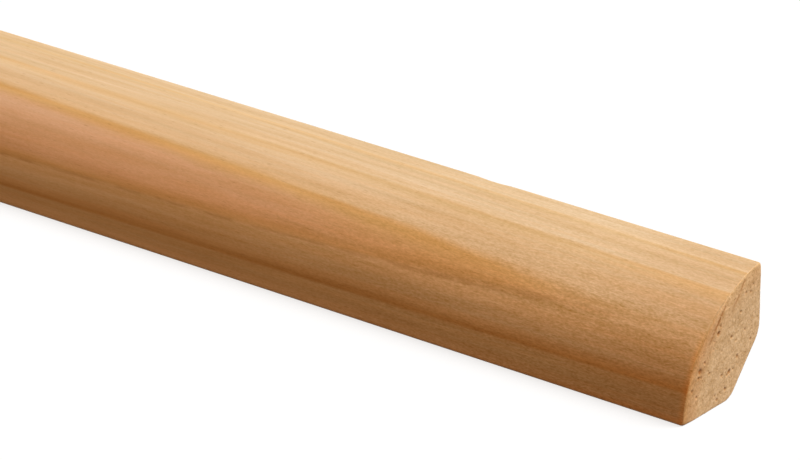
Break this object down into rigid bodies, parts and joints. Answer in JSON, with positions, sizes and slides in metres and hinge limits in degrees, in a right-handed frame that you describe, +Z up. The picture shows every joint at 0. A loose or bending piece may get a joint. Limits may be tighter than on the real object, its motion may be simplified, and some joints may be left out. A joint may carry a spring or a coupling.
{
  "type": "quarter round moulding",
  "caption": "Straight length of wooden quarter round trim: a rounded face, two flat seats at right angles and a bevelled heel, for the joint of floor and wall.",
  "frame": {"origin": "on the floor, halfway along the stock, under the middle of its depth", "axes": "+X along the stock, +Y towards the wall that the flat back bears on, +Z up from the floor"},
  "size_m": [2.438, 0.0189, 0.0189],
  "materials": {
    "wood": "planed and sanded bare wood, straight fine grain, sawn ends"
  },
  "bodies": {
    "root": {"quarter_round": "wood"}
  },
  "joints": []
}
